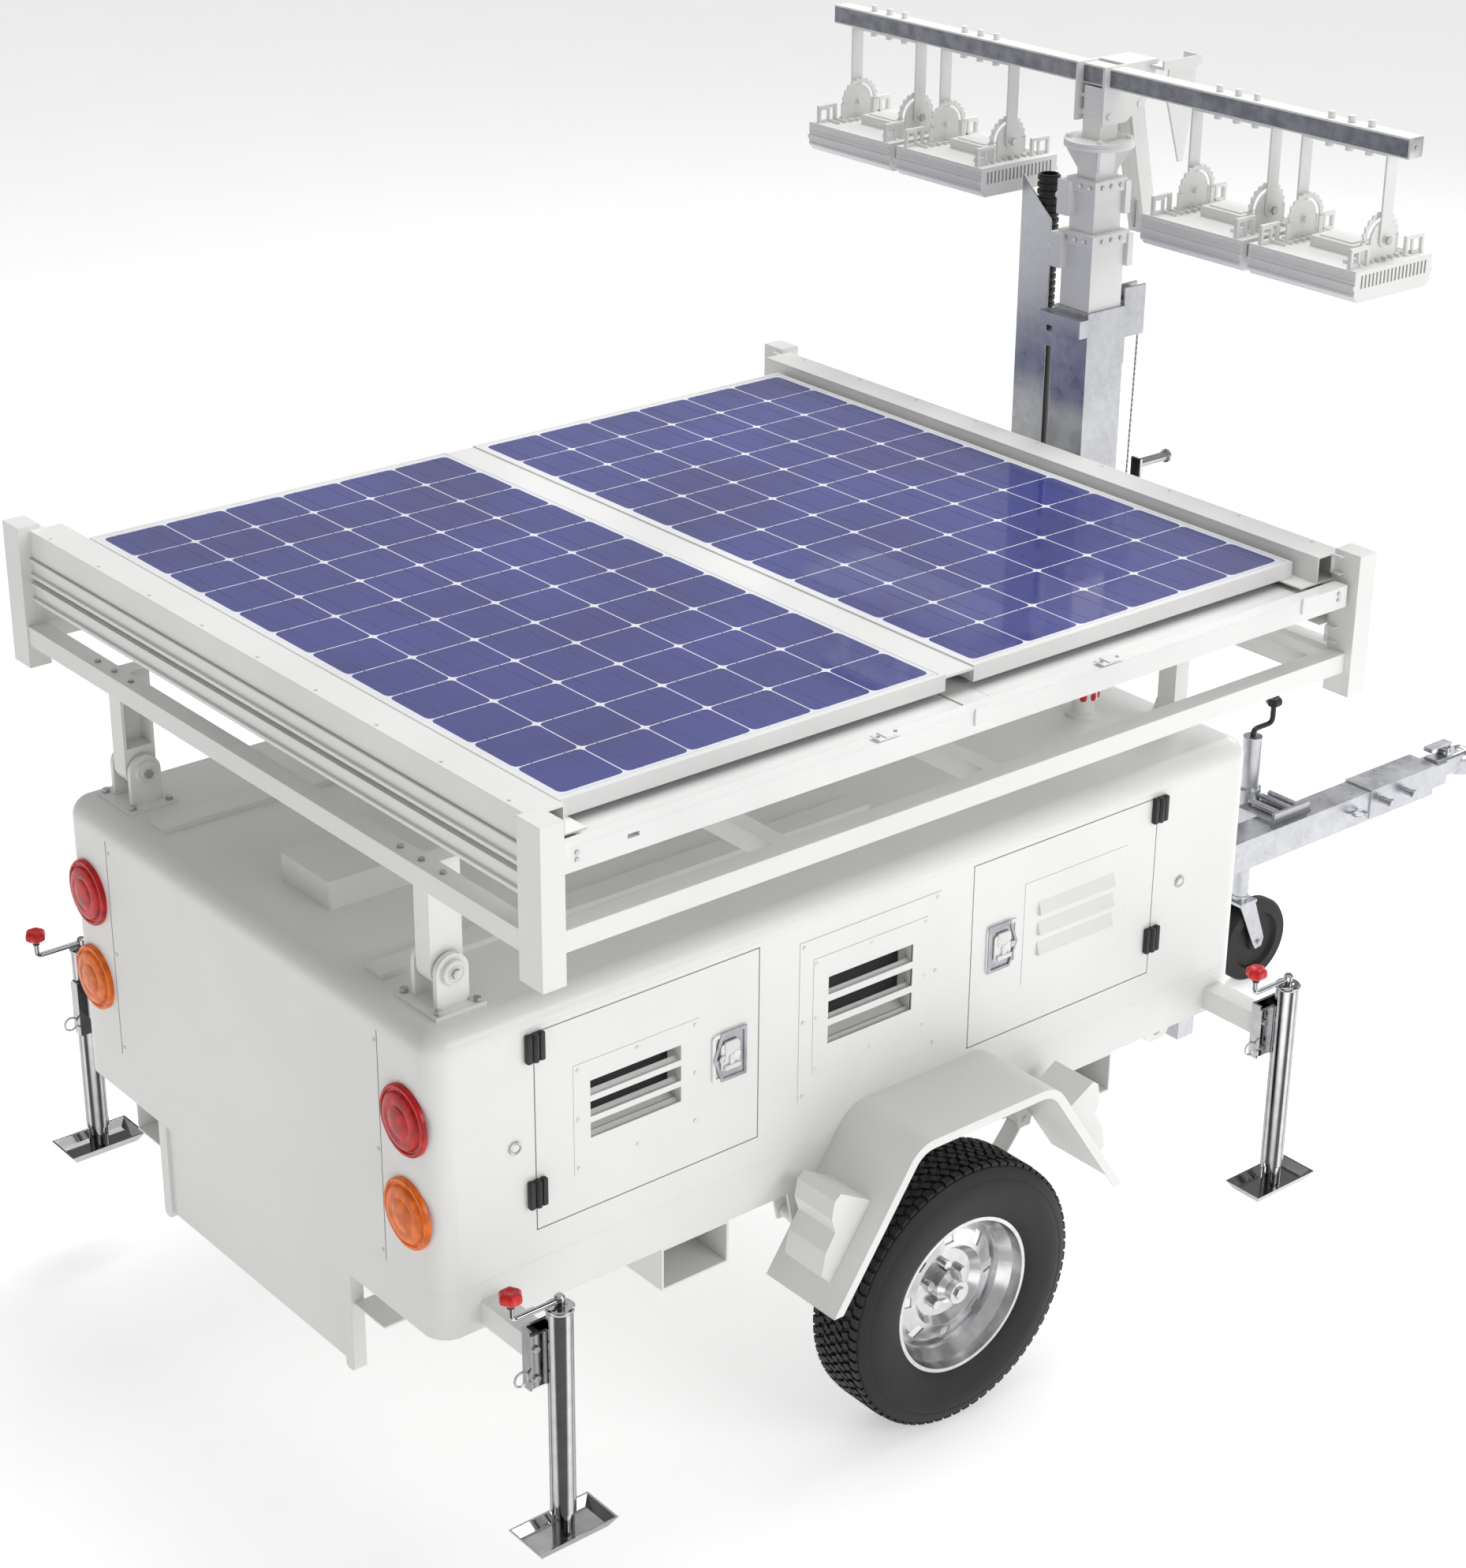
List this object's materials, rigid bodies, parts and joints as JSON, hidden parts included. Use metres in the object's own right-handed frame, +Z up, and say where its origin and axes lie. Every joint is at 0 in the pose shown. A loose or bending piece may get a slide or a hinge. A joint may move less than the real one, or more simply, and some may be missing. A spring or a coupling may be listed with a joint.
{
  "type": "solar lighting tower trailer",
  "caption": "Two-wheel trailer with a steel cabinet, a tilting solar deck with pull-out trays, corner jacks and a telescopic mast carrying LED floodlights.",
  "frame": {"origin": "on the ground under the centre of the footprint", "axes": "+X forward to the hitch, +Y to the trailer's left side, +Z up"},
  "size_m": [4.601, 2.25, 3.086],
  "materials": {
    "amber_lens": "gloss",
    "black_plastic": "matte",
    "bright_wheel": "polished",
    "chrome": "polished",
    "galvanised": "satin",
    "grey_plastic": "matte",
    "lamp_housing": "satin",
    "red_lens": "gloss",
    "rubber": "matte",
    "solar_module": "gloss",
    "steel_rope": "satin",
    "tyre": "matte",
    "white_powder_coat": "satin"
  },
  "bodies": {
    "chassis": {"axle_beam": "white_powder_coat", "chassis_frame": "white_powder_coat", "deck_supports": "white_powder_coat", "door_hinges": "black_plastic", "drawbar": "galvanised", "end_panels": "white_powder_coat", "fenders": "white_powder_coat", "jockey_tube": "galvanised", "lenses_amber": "amber_lens", "lenses_red": "red_lens", "mast_conduit": "black_plastic", "mast_outer": "galvanised", "mast_rope": "steel_rope", "mast_winch": "galvanised", "power_pack": "grey_plastic", "rear_bumper": "white_powder_coat", "roof_panel": "white_powder_coat", "side_wall_left": "white_powder_coat", "side_wall_right": "white_powder_coat"},
    "wheel_right": {"tyre_right": "tyre", "rim_right": "bright_wheel"},
    "wheel_left": {"tyre_left": "tyre", "rim_left": "bright_wheel"},
    "deck": {"deck_frame": "white_powder_coat", "deck_base": "white_powder_coat", "upper_modules": "solar_module"},
    "tray_r": {"tray_right": "solar_module"},
    "tray_l": {"tray_left": "solar_module"},
    "extension": {"drawbar_extension": "galvanised"},
    "lever": {"coupler_lever": "galvanised"},
    "jockey_inner": {"jockey_leg": "galvanised"},
    "jockey_yoke": {"jockey_fork": "galvanised"},
    "jockey_roller": {"jockey_wheel": "rubber"},
    "jockey_handle": {"jockey_crank": "black_plastic"},
    "winch_handle": {"winch_crank": "chrome"},
    "stage_1": {"mast_stage_1": "white_powder_coat"},
    "stage_2": {"mast_stage_2": "white_powder_coat"},
    "stage_3": {"mast_stage_3": "white_powder_coat"},
    "head": {"lamp_head": "white_powder_coat", "lamp_yokes": "white_powder_coat"},
    "flood_1": {"lamp_1": "lamp_housing"},
    "flood_2": {"lamp_2": "lamp_housing"},
    "flood_3": {"lamp_3": "lamp_housing"},
    "flood_4": {"lamp_4": "lamp_housing"},
    "jack_rear_right_body": {"jack_rear_right_tube": "chrome"},
    "jack_rear_right_foot": {"jack_rear_right_leg": "chrome"},
    "jack_rear_right_handle": {"jack_rear_right_crank": "chrome"},
    "door_rear_right_leaf": {"door_rear_right": "white_powder_coat"},
    "jack_rear_left_body": {"jack_rear_left_tube": "chrome"},
    "jack_rear_left_foot": {"jack_rear_left_leg": "chrome"},
    "jack_rear_left_handle": {"jack_rear_left_crank": "chrome"},
    "door_rear_left_leaf": {"door_rear_left": "white_powder_coat"},
    "jack_front_right_body": {"jack_front_right_tube": "chrome"},
    "jack_front_right_foot": {"jack_front_right_leg": "chrome"},
    "jack_front_right_handle": {"jack_front_right_crank": "chrome"},
    "door_front_right_leaf": {"door_front_right": "white_powder_coat"},
    "jack_front_left_body": {"jack_front_left_tube": "chrome"},
    "jack_front_left_foot": {"jack_front_left_leg": "chrome"},
    "jack_front_left_handle": {"jack_front_left_crank": "chrome"},
    "door_front_left_leaf": {"door_front_left": "white_powder_coat"}
  },
  "joints": [
    {"name": "wheel_right_spin", "type": "hinge", "parent": "chassis", "child": "wheel_right", "pos_m": [-0.8525, -0.908, 0.36], "axis": [0, 1, 0], "continuous": true},
    {"name": "wheel_left_spin", "type": "hinge", "parent": "chassis", "child": "wheel_left", "pos_m": [-0.8525, 0.908, 0.36], "axis": [0, 1, 0], "continuous": true},
    {"name": "door_rear_right_swing", "type": "hinge", "parent": "chassis", "child": "door_rear_right_leaf", "pos_m": [-2.0065, -0.809, 1.177], "axis": [0, 0, 1], "range_deg": [-110, 0]},
    {"name": "door_rear_left_swing", "type": "hinge", "parent": "chassis", "child": "door_rear_left_leaf", "pos_m": [-2.0065, 0.809, 1.177], "axis": [0, 0, 1], "range_deg": [0, 110]},
    {"name": "door_front_right_swing", "type": "hinge", "parent": "chassis", "child": "door_front_right_leaf", "pos_m": [-0.0565, -0.809, 1.177], "axis": [0, 0, 1], "range_deg": [0, 110]},
    {"name": "door_front_left_swing", "type": "hinge", "parent": "chassis", "child": "door_front_left_leaf", "pos_m": [-0.0565, 0.809, 1.177], "axis": [0, 0, 1], "range_deg": [-110, 0]},
    {"name": "deck_tilt", "type": "hinge", "parent": "chassis", "child": "deck", "pos_m": [-2.1445, 0, 1.58], "axis": [0, -1, 0], "range_deg": [0, 45]},
    {"name": "tray_right_slide", "type": "slide", "parent": "deck", "child": "tray_r", "axis": [0, -1, 0], "range_m": [0, 1.7]},
    {"name": "tray_left_slide", "type": "slide", "parent": "deck", "child": "tray_l", "axis": [0, 1, 0], "range_m": [0, 1.7]},
    {"name": "drawbar_slide", "type": "slide", "parent": "chassis", "child": "extension", "axis": [1, 0, 0], "range_m": [0, 0.25]},
    {"name": "coupler_lever_lift", "type": "hinge", "parent": "extension", "child": "lever", "pos_m": [2.1805, 0, 0.655], "axis": [0, 1, 0], "range_deg": [0, 60]},
    {"name": "jockey_leg_slide", "type": "slide", "parent": "chassis", "child": "jockey_inner", "axis": [0, 0, -1], "range_m": [-0.1, 0.1]},
    {"name": "jockey_swivel", "type": "hinge", "parent": "jockey_inner", "child": "jockey_yoke", "pos_m": [1.4055, 0.148, 0.3], "axis": [0, 0, 1], "continuous": true},
    {"name": "jockey_wheel_spin", "type": "hinge", "parent": "jockey_yoke", "child": "jockey_roller", "pos_m": [1.4715, 0.148, 0.14], "axis": [0, 1, 0], "continuous": true},
    {"name": "jockey_handle_turn", "type": "hinge", "parent": "chassis", "child": "jockey_handle", "pos_m": [1.4055, 0.148, 0.884], "axis": [0, 0, 1], "range_deg": [-3002, 3002]},
    {"name": "winch_handle_turn", "type": "hinge", "parent": "chassis", "child": "winch_handle", "pos_m": [0.5925, -0.017, 1.78], "axis": [1, 0, 0], "continuous": true},
    {"name": "mast_stage_1_slide", "type": "slide", "parent": "chassis", "child": "stage_1", "axis": [0, 0, 1], "range_m": [0, 1.45]},
    {"name": "mast_stage_2_slide", "type": "slide", "parent": "stage_1", "child": "stage_2", "axis": [0, 0, 1], "range_m": [0, 1.45]},
    {"name": "mast_stage_3_slide", "type": "slide", "parent": "stage_2", "child": "stage_3", "axis": [0, 0, 1], "range_m": [0, 1.45]},
    {"name": "head_turn", "type": "hinge", "parent": "stage_3", "child": "head", "pos_m": [0.4225, 0, 2.88], "axis": [0, 0, 1], "range_deg": [-175, 60]},
    {"name": "lamp_1_tilt", "type": "hinge", "parent": "head", "child": "flood_1", "pos_m": [0.4225, 0.822, 2.812], "axis": [0, 1, 0], "range_deg": [-75, 75]},
    {"name": "lamp_2_tilt", "type": "hinge", "parent": "head", "child": "flood_2", "pos_m": [0.4225, 0.458, 2.812], "axis": [0, 1, 0], "range_deg": [-75, 75]},
    {"name": "lamp_3_tilt", "type": "hinge", "parent": "head", "child": "flood_3", "pos_m": [0.4225, -0.465, 2.812], "axis": [0, 1, 0], "range_deg": [-75, 75]},
    {"name": "lamp_4_tilt", "type": "hinge", "parent": "head", "child": "flood_4", "pos_m": [0.4225, -0.826, 2.812], "axis": [0, 1, 0], "range_deg": [-75, 75]},
    {"name": "jack_rear_right_swing", "type": "hinge", "parent": "chassis", "child": "jack_rear_right_body", "pos_m": [-2.1325, -1.01, 0.768], "axis": [0, -1, 0], "range_deg": [0, 90]},
    {"name": "jack_rear_right_leg_slide", "type": "slide", "parent": "jack_rear_right_body", "child": "jack_rear_right_foot", "axis": [0, 0, -1], "range_m": [0, 0.305]},
    {"name": "jack_rear_right_handle_turn", "type": "hinge", "parent": "jack_rear_right_body", "child": "jack_rear_right_handle", "pos_m": [-2.1325, -1.056, 0.93], "axis": [0, 0, 1], "range_deg": [0, 9152]},
    {"name": "jack_rear_left_swing", "type": "hinge", "parent": "chassis", "child": "jack_rear_left_body", "pos_m": [-2.1325, 1.01, 0.768], "axis": [0, -1, 0], "range_deg": [0, 90]},
    {"name": "jack_rear_left_leg_slide", "type": "slide", "parent": "jack_rear_left_body", "child": "jack_rear_left_foot", "axis": [0, 0, -1], "range_m": [0, 0.305]},
    {"name": "jack_rear_left_handle_turn", "type": "hinge", "parent": "jack_rear_left_body", "child": "jack_rear_left_handle", "pos_m": [-2.1325, 1.056, 0.93], "axis": [0, 0, 1], "range_deg": [0, 9152]},
    {"name": "jack_front_right_swing", "type": "hinge", "parent": "chassis", "child": "jack_front_right_body", "pos_m": [0.2005, -1.01, 0.768], "axis": [0, -1, 0], "range_deg": [0, 90]},
    {"name": "jack_front_right_leg_slide", "type": "slide", "parent": "jack_front_right_body", "child": "jack_front_right_foot", "axis": [0, 0, -1], "range_m": [0, 0.305]},
    {"name": "jack_front_right_handle_turn", "type": "hinge", "parent": "jack_front_right_body", "child": "jack_front_right_handle", "pos_m": [0.2005, -1.056, 0.93], "axis": [0, 0, 1], "range_deg": [0, 9152]},
    {"name": "jack_front_left_swing", "type": "hinge", "parent": "chassis", "child": "jack_front_left_body", "pos_m": [0.2005, 1.01, 0.768], "axis": [0, -1, 0], "range_deg": [0, 90]},
    {"name": "jack_front_left_leg_slide", "type": "slide", "parent": "jack_front_left_body", "child": "jack_front_left_foot", "axis": [0, 0, -1], "range_m": [0, 0.305]},
    {"name": "jack_front_left_handle_turn", "type": "hinge", "parent": "jack_front_left_body", "child": "jack_front_left_handle", "pos_m": [0.2005, 1.056, 0.93], "axis": [0, 0, 1], "range_deg": [0, 9152]}
  ],
  "couplings": [
    {"joint": "mast_stage_2_slide", "follows": "mast_stage_1_slide", "ratio": 1},
    {"joint": "mast_stage_3_slide", "follows": "mast_stage_1_slide", "ratio": 1},
    {"joint": "winch_handle_turn", "follows": "mast_stage_1_slide", "rad_per_m": 30.303},
    {"joint": "jockey_handle_turn", "follows": "jockey_leg_slide", "rad_per_m": 523.6},
    {"joint": "jack_rear_right_handle_turn", "follows": "jack_rear_right_leg_slide", "rad_per_m": 523.6},
    {"joint": "jack_rear_left_handle_turn", "follows": "jack_rear_left_leg_slide", "rad_per_m": 523.6},
    {"joint": "jack_front_right_handle_turn", "follows": "jack_front_right_leg_slide", "rad_per_m": 523.6},
    {"joint": "jack_front_left_handle_turn", "follows": "jack_front_left_leg_slide", "rad_per_m": 523.6}
  ]
}
